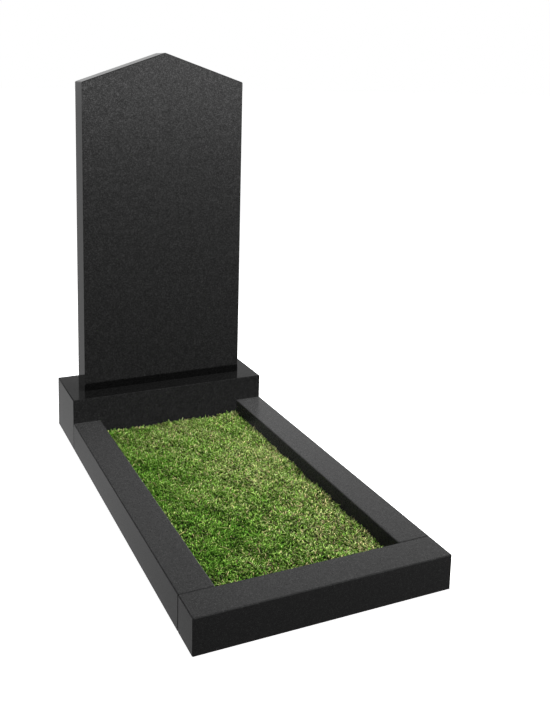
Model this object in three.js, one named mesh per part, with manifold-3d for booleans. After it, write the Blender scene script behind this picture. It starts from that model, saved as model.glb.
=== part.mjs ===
/*
 * Grave set of polished black granite: an upright slab with a low gabled top on a plinth block,
 * and a frame of three kerbs in front of the plinth around a bed of turf.
 *
 * Millimetres, +Z up. The front looks along -Y. The origin is on the ground, at the middle of
 * the whole footprint, and everything is cut off flat at ground level.
 */
import * as THREE from "three";
import { mergeVertices } from "three/addons/utils/BufferGeometryUtils.js";
import Module from "manifold-3d";

const wasm = await Module();
wasm.setup();

// Plinth block
const PLINTH_WIDTH = 600;
const PLINTH_DEPTH = 200;
const PLINTH_HEIGHT = 150;

// Upright slab, measured from its foot
const STELE_WIDTH = 500;
const STELE_THICKNESS = 80;
const SHOULDER_HEIGHT = 915;
const GABLE_RISE = 85;

// Kerb section, and how far the kerb frame reaches out from the plinth's front face
const KERB_WIDTH = 80;
const KERB_HEIGHT = 80;
const KERB_REACH = 950;

// Turf inside the kerbs: the mean height of the mown grass, and its soft unevenness
const TURF_HEIGHT = 44;
const TURF_ROLL = 2.5;
const ROLL_PITCH = 190;
const TURF_CELL = 40;

// Small flat worked along the visible edges of every stone
const ARRIS = 2;

// Clearance between stones that touch, and between the turf and the stones
const JOINT = 0.3;

// Places that follow from the sizes above
const TOTAL_DEPTH = PLINTH_DEPTH + KERB_REACH;
const BACK = TOTAL_DEPTH / 2;
const PLINTH_FRONT = BACK - PLINTH_DEPTH;
const FRONT = PLINTH_FRONT - KERB_REACH;
const BED_FRONT = FRONT + KERB_WIDTH;
const BED_LENGTH = PLINTH_FRONT - BED_FRONT;
const BED_MIDDLE = (PLINTH_FRONT + BED_FRONT) / 2;
const BED_WIDTH = PLINTH_WIDTH - 2 * KERB_WIDTH;

const granite = (name) =>
  new THREE.MeshStandardMaterial({
    name,
    color: 0x1b1b1d,
    roughness: 0.14,
    metalness: 0,
    flatShading: true,
  });

const turf = new THREE.MeshStandardMaterial({
  name: "turf",
  color: 0x5c7a2c,
  roughness: 0.95,
  metalness: 0,
  flatShading: true,
});

/** The solid that a closed geometry encloses. */
function toSolid(geometry) {
  const bare = geometry.clone();
  bare.deleteAttribute("normal");
  bare.deleteAttribute("uv");
  const welded = mergeVertices(bare);
  const vertProperties = new Float32Array(welded.attributes.position.array);
  const triVerts = new Uint32Array(welded.index.array);
  return new wasm.Manifold(new wasm.Mesh({ numProp: 3, vertProperties, triVerts }));
}

/** The geometry of a solid, with one flat normal for each face. */
function toGeometry(solid) {
  const mesh = solid.getMesh();
  const indexed = new THREE.BufferGeometry();
  indexed.setAttribute("position", new THREE.BufferAttribute(mesh.vertProperties, 3));
  indexed.setIndex(new THREE.BufferAttribute(mesh.triVerts, 1));
  const geometry = indexed.toNonIndexed();
  geometry.computeVertexNormals();
  return geometry;
}

/** A straight-sided outline with each corner cut off, as far along both of its sides. */
function cutCorners(corners, cut) {
  return corners.flatMap((corner, i) => {
    const before = corners[(i + corners.length - 1) % corners.length];
    const after = corners[(i + 1) % corners.length];
    return [before, after].map((neighbour) =>
      corner.clone().add(neighbour.clone().sub(corner).setLength(cut)),
    );
  });
}

/**
 * A stone that stands on z = 0, from the corners of its front outline (x across, y up) that
 * stand above its foot. Its visible edges have an arris and its foot is sawn flat.
 */
function stone(width, depth, upperCorners) {
  const below = -4 * ARRIS;
  const corners = [
    new THREE.Vector2(-width / 2, below),
    new THREE.Vector2(width / 2, below),
    ...upperCorners,
  ];
  const block = new THREE.ExtrudeGeometry(new THREE.Shape(cutCorners(corners, ARRIS)), {
    depth: depth - 2 * ARRIS,
    bevelEnabled: true,
    bevelSegments: 1,
    bevelThickness: ARRIS,
    bevelSize: ARRIS,
    bevelOffset: -ARRIS,
  });
  block.translate(0, 0, ARRIS - depth / 2);
  block.rotateX(Math.PI / 2);

  const ground = new THREE.BoxGeometry(2 * width, 2 * depth, -2 * below);
  ground.translate(0, 0, below);
  return toGeometry(toSolid(block).subtract(toSolid(ground)));
}

/** A rectangular stone. */
function blockStone(width, depth, height) {
  return stone(width, depth, [
    new THREE.Vector2(width / 2, height),
    new THREE.Vector2(-width / 2, height),
  ]);
}

/** The upright slab: straight shoulders and a low gable. */
function gabledSlab() {
  return stone(STELE_WIDTH, STELE_THICKNESS, [
    new THREE.Vector2(STELE_WIDTH / 2, SHOULDER_HEIGHT),
    new THREE.Vector2(0, SHOULDER_HEIGHT + GABLE_RISE),
    new THREE.Vector2(-STELE_WIDTH / 2, SHOULDER_HEIGHT),
  ]);
}

/** How far the grass stands above or below its mean height at a place in the bed. */
function roll(x, y) {
  const turn = (2 * Math.PI) / ROLL_PITCH;
  return (TURF_ROLL * (Math.sin(turn * y) + Math.cos(turn * x))) / 2;
}

/** The turf: a shallow slab that fills the kerbs and rises and falls softly on top. */
function turfSlab() {
  const width = BED_WIDTH - 2 * JOINT;
  const length = BED_LENGTH - 2 * JOINT;
  const columns = Math.round(width / TURF_CELL);
  const rows = Math.round(length / TURF_CELL);
  const slab = new THREE.BoxGeometry(width, length, TURF_HEIGHT, columns, rows, 1);
  slab.translate(0, 0, TURF_HEIGHT / 2);
  const place = slab.attributes.position;
  for (let i = 0; i < place.count; i++) {
    if (place.getZ(i) > TURF_HEIGHT / 2) {
      place.setZ(i, TURF_HEIGHT + roll(place.getX(i), place.getY(i)));
    }
  }
  slab.computeVertexNormals();
  return slab;
}

/** A named piece at its place. */
function piece(name, geometry, material, x, y, z) {
  const mesh = new THREE.Mesh(geometry, material);
  mesh.name = name;
  mesh.position.set(x, y, z);
  return mesh;
}

const graveSet = new THREE.Group();

// The plinth and the slab that stands in the middle of it
const plinthMiddle = BACK - PLINTH_DEPTH / 2;
const plinth = blockStone(PLINTH_WIDTH, PLINTH_DEPTH, PLINTH_HEIGHT);
graveSet.add(
  piece("plinth", plinth, granite("plinth"), 0, plinthMiddle, 0),
  piece("stele", gabledSlab(), granite("stele"), 0, plinthMiddle, PLINTH_HEIGHT + JOINT),
);

// The side kerbs run from the plinth to the front kerb, flush with the plinth's ends
for (const [name, side] of [["kerb_left", -1], ["kerb_right", 1]]) {
  const kerb = blockStone(KERB_WIDTH, BED_LENGTH - 2 * JOINT, KERB_HEIGHT);
  const x = (side * (PLINTH_WIDTH - KERB_WIDTH)) / 2;
  graveSet.add(piece(name, kerb, granite(name), x, BED_MIDDLE, 0));
}

// The front kerb closes the frame across its whole width
const frontKerb = blockStone(PLINTH_WIDTH, KERB_WIDTH, KERB_HEIGHT);
graveSet.add(piece("kerb_front", frontKerb, granite("kerb_front"), 0, FRONT + KERB_WIDTH / 2, 0));

// The turf between them
graveSet.add(piece("turf", turfSlab(), turf, 0, BED_MIDDLE, 0));

export default graveSet;
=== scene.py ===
"""
Looks for a grave set: a gabled slab of polished black granite on a plinth block, three kerbs
in front of it and a bed of short turf inside them. Metres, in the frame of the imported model.
"""

import math

import bpy
import numpy as np
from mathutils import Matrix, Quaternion, Vector


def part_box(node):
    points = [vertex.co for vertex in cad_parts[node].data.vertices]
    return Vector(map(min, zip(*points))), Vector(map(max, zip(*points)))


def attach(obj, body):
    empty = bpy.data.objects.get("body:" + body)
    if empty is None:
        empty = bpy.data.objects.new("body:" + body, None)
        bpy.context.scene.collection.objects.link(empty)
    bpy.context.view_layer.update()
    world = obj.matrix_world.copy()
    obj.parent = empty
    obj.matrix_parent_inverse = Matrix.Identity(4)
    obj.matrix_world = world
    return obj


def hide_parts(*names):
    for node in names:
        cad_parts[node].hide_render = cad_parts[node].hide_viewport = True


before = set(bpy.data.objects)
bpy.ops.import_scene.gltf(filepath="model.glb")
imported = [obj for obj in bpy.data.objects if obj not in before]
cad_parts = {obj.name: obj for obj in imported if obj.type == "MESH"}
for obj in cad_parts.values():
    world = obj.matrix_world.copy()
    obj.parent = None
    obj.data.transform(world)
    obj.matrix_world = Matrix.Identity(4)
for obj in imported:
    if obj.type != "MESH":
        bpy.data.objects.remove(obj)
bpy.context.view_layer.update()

# Finishes of the granite: the tone of its ground, how strongly its grain shows, and its
# roughness where smoothest and roughest
POLISHED = {"ground": 0.0062, "grain": 1.0, "smooth": 0.05, "rough": 0.11}
SATIN = {"ground": 0.042, "grain": 0.5, "smooth": 0.19, "rough": 0.26}
STONES = {
    "stele": POLISHED,
    "plinth": POLISHED,
    "kerb_left": SATIN,
    "kerb_right": SATIN,
    "kerb_front": SATIN,
}

# Grain of the granite. Crystals and plates have a scale, and noises a scale and a detail. Their
# steps are (place, factor on the tone or on the shine)
CRYSTAL_SCALE = 700.0
CRYSTAL_TONES = ((0.0, 0.45), (0.55, 0.95), (0.88, 1.35), (0.97, 2.4))
PLATE_SCALE = 380.0
PLATE_SHINES = ((0.0, 0.55), (0.6, 0.95), (1.0, 1.75))
CLOUDS = (150.0, 3.0)
CLOUD_TONES = ((0.3, 0.82), (0.7, 1.18))
DRIFT = (75.0, 3.0)
DRIFT_SHINES = ((0.3, 0.87), (0.7, 1.13))
SCUFFS = (260.0, 4.0)
SMOOTH_UP_TO = 0.3
ROUGH_FROM = 0.75
RELIEF = (210.0, 2.0)
RELIEF_STRENGTH = 0.55
RELIEF_DEPTH = 0.0002
NOISE_ROUGHNESS = 0.6
GRANITE_IOR = 1.5
APART_IN_THE_ROCK = (3.1, 1.7, 0.9)

# Camera: where it stands, which way it looks, and the part of its picture that is used
CAMERA_PLACE = Vector((-0.8411, -1.928, 1.1075))
CAMERA_TURN = math.radians(22.078)
CAMERA_DIP = math.radians(9.037)
CAMERA_ROLL = math.radians(0.638)
CAMERA_LENS = 43.35
CAMERA_SHIFT = (0.105, -0.212)

# Bed of the turf, and the thatch and soil under the grass
BED_LOW, BED_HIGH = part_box("turf")
BED_MARGIN = 0.001
SOIL_BELOW_TIPS = 0.010
SOIL_CELLS = (110, 218)
CRUMB = 0.0012
THATCH_SCALE = 260.0
THATCH_ROUGHNESS = 0.95
THATCH_COLOURS = (
    (0.3, (0.002, 0.005, 0.0005)),
    (0.5, (0.010, 0.018, 0.002)),
    (0.65, (0.035, 0.045, 0.007)),
    (0.8, (0.10, 0.10, 0.025)),
)

# Rises of the thatch: how high, and their waves in radians to the metre
BROAD_RISE = 0.0022
BROAD_ACROSS = 29
BROAD_ALONG = 33
BROAD_START = 1.3
NARROW_RISE = 0.0015
NARROW_ACROSS = 71
NARROW_ALONG = 40

# Blades of grass and the dry stalk among them: length, width, and droop as a share of the length
BLADES = (
    (0.011, 0.0030, 0.15),
    (0.013, 0.0028, 0.35),
    (0.009, 0.0034, 0.05),
    (0.016, 0.0024, 0.5),
)
STALK = (0.030, 0.0018, 0.12)
BLADE_SIDES = 3
BLADE_THINNESS = 0.35
BELLY_HEIGHT = 0.5
BELLY_SWELL = 1.7
BELLY_DROOP = 0.25
TIP_FROM = 0.9
TIP_DROP = 0.3

# How the grass is sown: patches along the bed, tufts in a patch, blades in a tuft
PATCHES = 4
BLADES_PER_PATCH = 17500
STALKS_PER_PATCH = 22
BLADES_PER_TUFT = 6
TUFT_RADIUS = 0.007
BLADE_LEAN = (8, 50, 84)
STALK_LEAN = (78, 92)
BLADE_LIFT = (-0.004, 0)
STALK_LIFT = (0.004, 0.008)
TWIST = (-0.9, 0.9)
STRETCH = (0.6, 1.3)
GIRTH = (0.75, 1.3)

# Growth over the bed: slow waves as (strength, across, along, start), and dryness to the right
GROWTH_WAVES = ((1, 11, 5, 0.6), (1, -9, 17, 2.1), (0.7, 31, 23, 0), (0.6, -37, 41, 0.4))
MEAN_GROWTH = 0.5
WAVES_DIVIDED_BY = 9
DRIER_TO_THE_RIGHT = 1.4

# Tone of a blade, from 0 for deep green to 1 for straw, and what it is made up of
TONE_OF_PLACE = 0.31
TONE_OF_BLADE = 0.6
TONE_OF_TUFT = 0.18
BLADE_MIX = (1.3, 2.0)
TUFT_MIX = (1.3, 2.2)
DRY_SHARE = 0.20
DRY_TONE = (0.86, 0.985)
GRASS_COLOURS = (
    (0.0, (0.052, 0.192, 0.013)),
    (0.3, (0.142, 0.343, 0.038)),
    (0.55, (0.31, 0.49, 0.095)),
    (0.75, (0.50, 0.61, 0.25)),
    (0.88, (0.61, 0.52, 0.23)),
    (1.0, (0.76, 0.63, 0.36)),
)
# Painted shade and light up each blade: darkened at the foot where shade falls among the blades,
# and brighter than its own colour towards the tip
PAINTED_SHADE_AND_LIGHT_UP_BLADE = ((0.0, 0.05), (0.4, 0.42), (1.0, 1.45))
# Bands of brightness drawn at random for each blade: partly the blades' own tone, partly painted
# light and shade, the brightest bands lighter than grass can be
TONE_AND_PAINTED_LIGHT_BANDS = (0.36, 0.78, 1.15, 1.75)
BLADE_ROUGHNESS = 0.6
BLADE_SHEEN = 0.03

# Place of a blade on its map: its tone across, its band of tone and painted light and shade, and
# its height up, which carries painted shade at the foot and painted light at the tip
MAP_NAME = "OFBake"
MAP_MARGIN = 0.01
MAP_WIDTH = 0.97
BLADE_WIDTH_ON_MAP = 0.008
FOOT_ON_MAP = 0.05
LENGTH_ON_MAP = 0.9

# Surroundings that the polish mirrors: glow at heights in degrees above or below the horizon
BEHIND = ((-45, 0.38), (-33, 0.40), (-27, 0.44), (-24.5, 0.38), (-20, 0.34), (-3, 0.34),
          (6, 0.60), (12, 0.60), (17, 0.38), (21, 0.36), (25, 0.14), (32, 0.05), (60, 0.1))
BEFORE = ((-45, 0.04), (-34, 0.08), (-29, 0.18), (-25, 0.33), (-19.5, 0.31), (-15.8, 0.40),
          (-11.4, 0.50), (-7, 0.70), (-4.7, 0.93), (-2.9, 1.14), (-0.6, 1.52), (3, 1.6), (8, 1.1),
          (14, 0.2), (22, 0.1), (60, 0.3))
SCREEN = ((-60, 0.0), (34, 0.0), (50, 0.1))
SCREEN_STARTS = 0.32
SCREEN_FULL = 0.37
SIDES_MEET_OVER = 0.35

# Glow that lights the matt surfaces, and the plain white that the camera sees
AMBIENT = 0.12
WHITE = 1.0

# The one lamp
LAMP_PLACE = Vector((0.47, 0.24, 1.6))
LAMP_AIM = Vector((0, -0.1, 0))
LAMP_SIZE = 0.9
LAMP_POWER = 52

# Floor
FLOOR_RADIUS = 40
FLOOR_SIDES = 96
FLOOR_TONE = 0.8

SEED = 20
rng = np.random.default_rng(SEED)


# Small helpers

def deselect():
    """Nothing stays selected, so that an operator acts on the new piece alone."""
    for other in bpy.context.selected_objects:
        other.select_set(False)


def grey(value):
    """A colour without a hue."""
    return (value, value, value)


def new_material(name):
    """A new material, its node tree and its surface node."""
    material = bpy.data.materials.new(name)
    material.use_nodes = True
    tree = material.node_tree
    return material, tree, tree.nodes["Principled BSDF"]


def add_node(tree, kind, **values):
    """A node with its input values or its own settings set by name."""
    node = tree.nodes.new(kind)
    for key, value in values.items():
        name = key.replace("_", " ")
        if name in node.inputs:
            node.inputs[name].default_value = value
        else:
            setattr(node, key, value)
    return node


def ramp(tree, source, stops, interpolation="LINEAR"):
    """A colour ramp over a value, from (place, colour) stops."""
    node = add_node(tree, "ShaderNodeValToRGB")
    node.color_ramp.interpolation = interpolation
    elements = node.color_ramp.elements
    while len(elements) < len(stops):
        elements.new(0.5)
    for element, (place, colour) in zip(elements, stops):
        element.position = place
        element.color = (*colour, 1)
    tree.links.new(source, node.inputs["Fac"])
    return node.outputs["Color"]


def mix(tree, factor, first, second, **settings):
    """Two colours mixed. The factor is a number or the output of another node."""
    node = add_node(tree, "ShaderNodeMix", data_type="RGBA", **settings)
    if isinstance(factor, float):
        node.inputs["Factor"].default_value = factor
    else:
        tree.links.new(factor, node.inputs["Factor"])
    tree.links.new(first, node.inputs[6])
    tree.links.new(second, node.inputs[7])
    return node.outputs[2]


def multiply(tree, first, second):
    """One colour times another."""
    return mix(tree, 1.0, first, second, blend_type="MULTIPLY")


# Granite

def granite(name, finish, offset):
    """Black granite: crystals of slightly different greys, clouded, under a polish or a satin."""
    material, tree, surface = new_material(name)
    place = add_node(tree, "ShaderNodeTexCoord").outputs["Object"]
    moved = add_node(tree, "ShaderNodeMapping", Location=offset)
    tree.links.new(place, moved.inputs["Vector"])

    def noise(scale, detail):
        node = add_node(
            tree, "ShaderNodeTexNoise", Scale=scale, Detail=detail, Roughness=NOISE_ROUGHNESS
        )
        tree.links.new(moved.outputs["Vector"], node.inputs["Vector"])
        return node.outputs["Fac"]

    def cells(scale, channel):
        """Crystals, each with a value of its own."""
        node = add_node(tree, "ShaderNodeTexVoronoi", Scale=scale, feature="F1")
        tree.links.new(moved.outputs["Vector"], node.inputs["Vector"])
        split = add_node(tree, "ShaderNodeSeparateColor")
        tree.links.new(node.outputs["Color"], split.inputs["Color"])
        return split.outputs[channel]

    def around(middle, source, steps):
        """Tones around a middle one, closer to it where the finish shows less grain."""
        stops = [
            (step, grey(middle * (1 + (factor - 1) * finish["grain"])))
            for step, factor in steps
        ]
        return ramp(tree, source, stops)

    crystals = around(finish["ground"], cells(CRYSTAL_SCALE, "Red"), CRYSTAL_TONES)
    clouds = around(1, noise(*CLOUDS), CLOUD_TONES)
    tree.links.new(multiply(tree, crystals, clouds), surface.inputs["Base Color"])

    plates = around(1, cells(PLATE_SCALE, "Green"), PLATE_SHINES)
    drift = around(1, noise(*DRIFT), DRIFT_SHINES)
    tree.links.new(multiply(tree, plates, drift), surface.inputs["Specular Tint"])

    scuffs = ramp(
        tree,
        noise(*SCUFFS),
        [(SMOOTH_UP_TO, grey(finish["smooth"])), (ROUGH_FROM, grey(finish["rough"]))],
    )
    tree.links.new(scuffs, surface.inputs["Roughness"])
    surface.inputs["IOR"].default_value = GRANITE_IOR

    strength = RELIEF_STRENGTH * finish["grain"]
    relief = add_node(tree, "ShaderNodeBump", Strength=strength, Distance=RELIEF_DEPTH)
    tree.links.new(noise(*RELIEF), relief.inputs["Height"])
    tree.links.new(relief.outputs["Normal"], surface.inputs["Normal"])
    return material


def finish_stones():
    """Each stone is cut from its own place in the rock, so its grain starts elsewhere."""
    for i, (name, finish) in enumerate(STONES.items()):
        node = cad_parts[name]
        offset = [apart * i for apart in APART_IN_THE_ROCK]
        node.data.materials.clear()
        node.data.materials.append(granite("granite_" + name, finish, offset))
        if finish is SATIN:
            node.visible_glossy = False


# Thatch and soil

def turf_top(x, y):
    """The height of the thatch at a place in the bed: broad rises and narrower ones."""
    rise = BROAD_RISE * np.sin(BROAD_ALONG * y + BROAD_START) * np.cos(BROAD_ACROSS * x)
    rise += NARROW_RISE * np.sin(NARROW_ACROSS * x + NARROW_ALONG * y)
    return BED_HIGH.z - SOIL_BELOW_TIPS + rise


def model_soil():
    """The thatch and soil under the blades: a slab that fills the bed, crumbly on top."""
    middle = (BED_LOW + BED_HIGH) / 2
    size = BED_HIGH - BED_LOW
    deselect()
    bpy.ops.mesh.primitive_grid_add(
        x_subdivisions=SOIL_CELLS[0], y_subdivisions=SOIL_CELLS[1], size=1, location=(0, 0, 0)
    )
    soil = bpy.context.object
    soil.name = "turf_soil"
    bpy.ops.object.mode_set(mode="EDIT")
    bpy.ops.mesh.select_all(action="SELECT")
    bpy.ops.transform.resize(value=(size.x, size.y, 1))
    bpy.ops.transform.translate(value=(middle.x, middle.y, BED_HIGH.z - SOIL_BELOW_TIPS))
    bpy.ops.object.mode_set(mode="OBJECT")

    mesh = soil.data
    place = np.empty(len(mesh.vertices) * 3)
    mesh.vertices.foreach_get("co", place)
    place = place.reshape(-1, 3)
    place[:, 2] = turf_top(place[:, 0], place[:, 1]) + rng.normal(0, CRUMB, len(place))
    mesh.vertices.foreach_set("co", place.ravel())

    # The rim goes straight down to the ground, and the underside closes it
    bpy.ops.object.mode_set(mode="EDIT")
    bpy.ops.mesh.select_all(action="DESELECT")
    bpy.ops.mesh.select_non_manifold()
    bpy.ops.mesh.extrude_region_move()
    bpy.ops.transform.resize(value=(1, 1, 0))
    bpy.ops.object.mode_set(mode="OBJECT")
    for vertex in mesh.vertices:
        if vertex.select:
            vertex.co.z = 0
    bpy.ops.object.mode_set(mode="EDIT")
    bpy.ops.mesh.edge_face_add()
    bpy.ops.mesh.select_all(action="SELECT")
    bpy.ops.mesh.normals_make_consistent(inside=False)
    bpy.ops.object.mode_set(mode="OBJECT")
    return soil


def thatch_material():
    """Dark soil with lighter dead fibres."""
    material, tree, surface = new_material("thatch")
    place = add_node(tree, "ShaderNodeTexCoord").outputs["Object"]
    fibre = add_node(tree, "ShaderNodeTexNoise", Scale=THATCH_SCALE, Detail=5.0, Roughness=0.7)
    tree.links.new(place, fibre.inputs["Vector"])
    colour = ramp(tree, fibre.outputs["Fac"], THATCH_COLOURS)
    tree.links.new(colour, surface.inputs["Base Color"])
    surface.inputs["Roughness"].default_value = THATCH_ROUGHNESS
    return material


# Grass

def model_blade(length, width, droop):
    """One closed blade of grass that stands at the origin: points and triangles, as arrays."""
    belly = (0, 0, length * BELLY_HEIGHT)
    deselect()
    bpy.ops.mesh.primitive_cone_add(
        vertices=BLADE_SIDES, radius1=width / 2, radius2=0, depth=length,
        location=(0, 0, length / 2),
    )
    blade = bpy.context.object
    bpy.ops.object.transform_apply(location=True)
    bpy.ops.object.mode_set(mode="EDIT")
    bpy.ops.mesh.select_all(action="SELECT")
    bpy.ops.transform.resize(value=(1, BLADE_THINNESS, 1))
    bpy.ops.mesh.bisect(plane_co=belly, plane_no=(0, 0, 1))
    bpy.ops.transform.resize(value=(BELLY_SWELL, BELLY_SWELL, 1), center_override=belly)
    bpy.ops.transform.translate(value=(0, -BELLY_DROOP * droop * length, 0))
    bpy.ops.mesh.select_all(action="DESELECT")
    bpy.ops.object.mode_set(mode="OBJECT")
    for vertex in blade.data.vertices:
        vertex.select = vertex.co.z > length * TIP_FROM
    bpy.ops.object.mode_set(mode="EDIT")
    bpy.ops.transform.translate(value=(0, -droop * length, -TIP_DROP * droop * length))
    bpy.ops.mesh.select_all(action="SELECT")
    bpy.ops.mesh.quads_convert_to_tris()
    bpy.ops.mesh.normals_make_consistent(inside=False)
    bpy.ops.object.mode_set(mode="OBJECT")
    points = np.array([vertex.co[:] for vertex in blade.data.vertices])
    faces = np.array([polygon.vertices[:] for polygon in blade.data.polygons])
    bpy.data.objects.remove(blade)
    return points, faces


def turned(lean, heading, twist):
    """Rotation matrices: twist about the blade, lean over, then turn to a heading."""
    def about(axis, angle):
        matrix = np.zeros((len(angle), 3, 3))
        i, j = [(1, 2), (2, 0), (0, 1)][axis]
        matrix[:, axis, axis] = 1
        matrix[:, i, i] = matrix[:, j, j] = np.cos(angle)
        matrix[:, i, j] = -np.sin(angle)
        matrix[:, j, i] = np.sin(angle)
        return matrix
    return about(2, heading) @ about(0, lean) @ about(2, twist)


def growth(x, y):
    """Slow changes of growth over the bed, from 0 for lush to 1 for dry."""
    waves = sum(
        strength * np.sin(across * x + along * y + start)
        for strength, across, along, start in GROWTH_WAVES
    )
    return MEAN_GROWTH + waves / WAVES_DIVIDED_BY + DRIER_TO_THE_RIGHT * x


def keep_inside(places):
    """Blades with a point past the edge of the bed are moved inward whole."""
    for axis in (0, 1):
        inward = (BED_LOW[axis] - places[:, :, axis].min(1)).clip(0)
        inward += (BED_HIGH[axis] - places[:, :, axis].max(1)).clip(None, 0)
        places[:, :, axis] += inward[:, None]


def sow_patch(name, low_y, high_y, shapes, faces, material):
    """One patch of grass, between two places along the bed, as a mesh of closed blades."""
    count = BLADES_PER_PATCH
    tufts = count // BLADES_PER_TUFT
    tuft = rng.integers(0, tufts, count)
    heading = rng.uniform(0, 2 * math.pi, count)
    out = np.abs(rng.normal(0, TUFT_RADIUS, count))
    x = rng.uniform(BED_LOW.x, BED_HIGH.x, tufts)[tuft] + out * np.sin(heading)
    y = rng.uniform(low_y, high_y, tufts)[tuft] - out * np.cos(heading)
    x = x.clip(BED_LOW.x + BED_MARGIN, BED_HIGH.x - BED_MARGIN)
    y = y.clip(BED_LOW.y + BED_MARGIN, BED_HIGH.y - BED_MARGIN)

    # The first few are stalks, and the last shape is theirs
    stalk = np.arange(count) < STALKS_PER_PATCH
    kind = np.where(stalk, len(BLADES), rng.integers(0, len(BLADES), count))
    lean = np.where(stalk, rng.uniform(*STALK_LEAN, count), rng.triangular(*BLADE_LEAN, count))
    twist = rng.uniform(*TWIST, count)
    stretch = rng.uniform(*STRETCH, count)
    girth = rng.uniform(*GIRTH, count)
    sized = shapes[kind] * np.stack([girth, girth, stretch], 1)[:, None, :]
    places = np.einsum("nij,nkj->nki", turned(np.radians(lean), heading, twist), sized)
    lift = np.where(stalk, rng.uniform(*STALK_LIFT, count), rng.uniform(*BLADE_LIFT, count))
    places += np.stack([x, y, turf_top(x, y) + lift], 1)[:, None, :]
    keep_inside(places)

    mesh = bpy.data.meshes.new(name)
    corners = (faces[None] + np.arange(count)[:, None, None] * shapes.shape[1]).reshape(-1, 3)
    mesh.vertices.add(count * shapes.shape[1])
    mesh.vertices.foreach_set("co", places.ravel())
    mesh.loops.add(corners.size)
    mesh.loops.foreach_set("vertex_index", corners.ravel())
    mesh.polygons.add(len(corners))
    mesh.polygons.foreach_set("loop_start", np.arange(0, corners.size, 3))
    mesh.update()

    dryness = growth(x, y)
    tone = TONE_OF_PLACE * dryness + TONE_OF_BLADE * rng.beta(*BLADE_MIX, count)
    tone += TONE_OF_TUFT * rng.beta(*TUFT_MIX, tufts)[tuft]
    dry = stalk | (rng.random(count) < DRY_SHARE * dryness)
    tone = np.where(dry, rng.uniform(*DRY_TONE, count), tone.clip(0, DRY_TONE[1]))
    # A band for each blade at random, partly its own tone and partly painted light and shade;
    # stalks take the brightest
    shade = np.where(stalk, len(TONE_AND_PAINTED_LIGHT_BANDS) - 1, rng.integers(0, len(TONE_AND_PAINTED_LIGHT_BANDS), count))
    map_blades(mesh, tone, shade, shapes[0], faces)

    grass = bpy.data.objects.new(name, mesh)
    bpy.context.scene.collection.objects.link(grass)
    mesh.materials.append(material)
    return grass


def map_blades(mesh, tone, shade, shape, faces):
    """Each blade's place on the map: across by its tone, up by its band of tone and painted light
    and shade and by its own height, which paints shade at the foot and light at the tip.
    """
    height = shape[:, 2] / shape[:, 2].max()
    across = shape[:, 0] / np.ptp(shape[:, 0])
    u = MAP_MARGIN + MAP_WIDTH * tone[:, None] + BLADE_WIDTH_ON_MAP * across[None, :]
    v = (shade[:, None] + FOOT_ON_MAP + LENGTH_ON_MAP * height[None, :]) / len(TONE_AND_PAINTED_LIGHT_BANDS)
    uv = np.stack([u, v], 2)[:, faces.ravel(), :]
    layer = mesh.uv_layers.new(name=MAP_NAME)
    layer.data.foreach_set("uv", uv.ravel())


def grass_material():
    """Colour from the blade's place on its map: tone across, and up it a band of tone with painted
    light and shade, and the height, which gives painted shade at the foot and painted light at the
    tip.
    """
    material, tree, surface = new_material("grass")
    place = add_node(tree, "ShaderNodeUVMap", uv_map=MAP_NAME)
    split = add_node(tree, "ShaderNodeSeparateXYZ")
    tree.links.new(place.outputs["UV"], split.inputs["Vector"])
    scaled = add_node(tree, "ShaderNodeMath", operation="MULTIPLY")
    scaled.inputs[1].default_value = len(TONE_AND_PAINTED_LIGHT_BANDS)
    tree.links.new(split.outputs["Y"], scaled.inputs[0])
    height = add_node(tree, "ShaderNodeMath", operation="FRACT")
    tree.links.new(scaled.outputs[0], height.inputs[0])

    tone = ramp(tree, split.outputs["X"], GRASS_COLOURS)
    # Painted shade at the foot of each blade and painted light at its tip
    rise = ramp(tree, height.outputs[0], [(step, grey(glow)) for step, glow in PAINTED_SHADE_AND_LIGHT_UP_BLADE])
    # The blade's band of brightness: partly its own tone, partly painted light and shade
    bands = [(i / len(TONE_AND_PAINTED_LIGHT_BANDS), grey(factor)) for i, factor in enumerate(TONE_AND_PAINTED_LIGHT_BANDS)]
    shade = ramp(tree, split.outputs["Y"], bands, "CONSTANT")
    colour = multiply(tree, multiply(tree, tone, rise), shade)
    tree.links.new(colour, surface.inputs["Base Color"])
    surface.inputs["Roughness"].default_value = BLADE_ROUGHNESS
    surface.inputs["Specular IOR Level"].default_value = BLADE_SHEEN
    return material


def make_turf():
    """The soil takes the place of the plain turf, and the grass grows out of it."""
    soil = model_soil()
    soil.data.materials.append(thatch_material())
    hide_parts("turf")
    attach(soil, "root")
    soil.visible_glossy = False

    models = [model_blade(*sizes) for sizes in (*BLADES, STALK)]
    shapes = np.stack([points for points, _ in models])
    faces = models[0][1]
    material = grass_material()
    edges = np.linspace(BED_LOW.y + BED_MARGIN, BED_HIGH.y - BED_MARGIN, PATCHES + 1)
    for i in range(PATCHES):
        grass = sow_patch(f"grass_{i + 1}", edges[i], edges[i + 1], shapes, faces, material)
        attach(grass, "root")
        grass.visible_glossy = False


# Surroundings

def make_floor():
    """A plain white floor that shows no shadow."""
    deselect()
    bpy.ops.mesh.primitive_circle_add(vertices=FLOOR_SIDES, radius=FLOOR_RADIUS, fill_type="NGON")
    floor = bpy.context.object
    floor.name = "floor"
    material, tree, surface = new_material("pale_floor")
    surface.inputs["Base Color"].default_value = (*grey(FLOOR_TONE), 1)
    surface.inputs["Roughness"].default_value = 1.0
    surface.inputs["Specular IOR Level"].default_value = 0.0
    surface.inputs["Emission Color"].default_value = (*grey(WHITE), 1)
    surface.inputs["Emission Strength"].default_value = 1.0
    floor.data.materials.append(material)
    floor.visible_glossy = False
    floor.visible_diffuse = False


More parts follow.
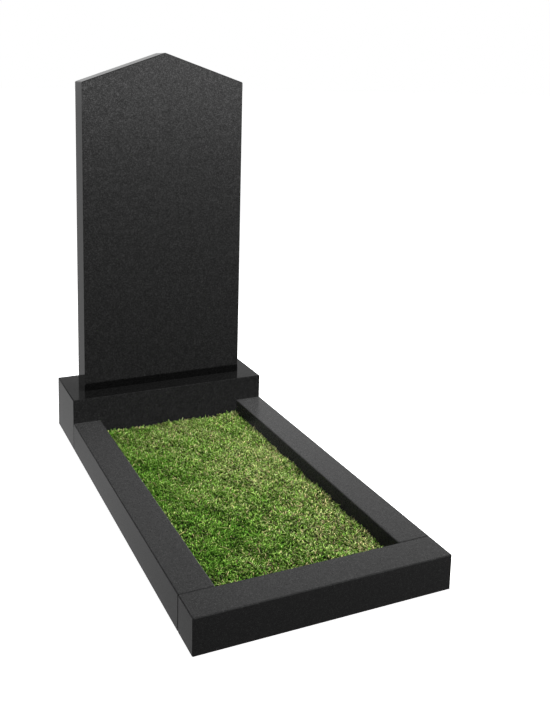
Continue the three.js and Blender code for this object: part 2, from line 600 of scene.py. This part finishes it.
def make_world():
    """
    A soft surround. What the polish mirrors is a gradient by height, one on the viewer's side and
    one behind the stones, which has a dark screen at its left. What lights the matt surfaces is an
    even, weak glow, and the camera itself sees plain white.
    """
    world = bpy.data.worlds.new("surround")
    bpy.context.scene.world = world
    world.use_nodes = True
    tree = world.node_tree
    tree.nodes.clear()
    place = add_node(tree, "ShaderNodeTexCoord").outputs["Generated"]
    split = add_node(tree, "ShaderNodeSeparateXYZ")
    tree.links.new(place, split.inputs["Vector"])

    def spread(source, low, high, interpolation="SMOOTHSTEP"):
        """From 0 where the source is low to 1 where it is high."""
        node = add_node(tree, "ShaderNodeMapRange", interpolation_type=interpolation)
        node.inputs["From Min"].default_value = low
        node.inputs["From Max"].default_value = high
        tree.links.new(source, node.inputs["Value"])
        return node.outputs["Result"]

    height = spread(split.outputs["Z"], -1, 1, "LINEAR")

    def by_height(stops):
        places = [((math.sin(math.radians(angle)) + 1) / 2, grey(glow)) for angle, glow in stops]
        return ramp(tree, height, places)

    open_side = spread(split.outputs["X"], -SCREEN_FULL, -SCREEN_STARTS)
    behind = mix(tree, open_side, by_height(SCREEN), by_height(BEHIND))
    far_side = spread(split.outputs["Y"], -SIDES_MEET_OVER, SIDES_MEET_OVER)
    mirrored = add_node(tree, "ShaderNodeBackground")
    around = mix(tree, far_side, by_height(BEFORE), behind)
    tree.links.new(around, mirrored.inputs["Color"])

    path = add_node(tree, "ShaderNodeLightPath")
    shown = mirrored
    for ray, glow in (("Is Diffuse Ray", AMBIENT), ("Is Camera Ray", WHITE)):
        even = add_node(tree, "ShaderNodeBackground", Color=(*grey(WHITE), 1), Strength=glow)
        choose = add_node(tree, "ShaderNodeMixShader")
        tree.links.new(path.outputs[ray], choose.inputs["Fac"])
        tree.links.new(shown.outputs[0], choose.inputs[1])
        tree.links.new(even.outputs[0], choose.inputs[2])
        shown = choose
    out = add_node(tree, "ShaderNodeOutputWorld")
    tree.links.new(shown.outputs[0], out.inputs["Surface"])


def make_lamp():
    """One soft lamp above the bed, which the polish doesn't mirror."""
    data = bpy.data.lights.new("overhead", "AREA")
    data.shape = "SQUARE"
    data.size = LAMP_SIZE
    data.energy = LAMP_POWER
    lamp = bpy.data.objects.new("overhead", data)
    bpy.context.scene.collection.objects.link(lamp)
    lamp.location = LAMP_PLACE
    lamp.rotation_euler = (LAMP_AIM - LAMP_PLACE).to_track_quat("-Z", "Y").to_euler()
    lamp.visible_glossy = False


def make_camera():
    """The view of the photograph."""
    data = bpy.data.cameras.new("camera")
    data.lens = CAMERA_LENS
    data.shift_x, data.shift_y = CAMERA_SHIFT
    camera = bpy.data.objects.new("camera", data)
    bpy.context.scene.collection.objects.link(camera)
    ahead = Vector(
        (
            math.sin(CAMERA_TURN) * math.cos(CAMERA_DIP),
            math.cos(CAMERA_TURN) * math.cos(CAMERA_DIP),
            -math.sin(CAMERA_DIP),
        )
    )
    upright = ahead.to_track_quat("-Z", "Y")
    camera.rotation_mode = "QUATERNION"
    camera.rotation_quaternion = upright @ Quaternion((0, 0, 1), CAMERA_ROLL)
    camera.location = CAMERA_PLACE
    bpy.context.scene.camera = camera


finish_stones()
make_turf()
make_floor()
make_world()
make_lamp()
make_camera()
bpy.context.scene.view_settings.view_transform = "Standard"
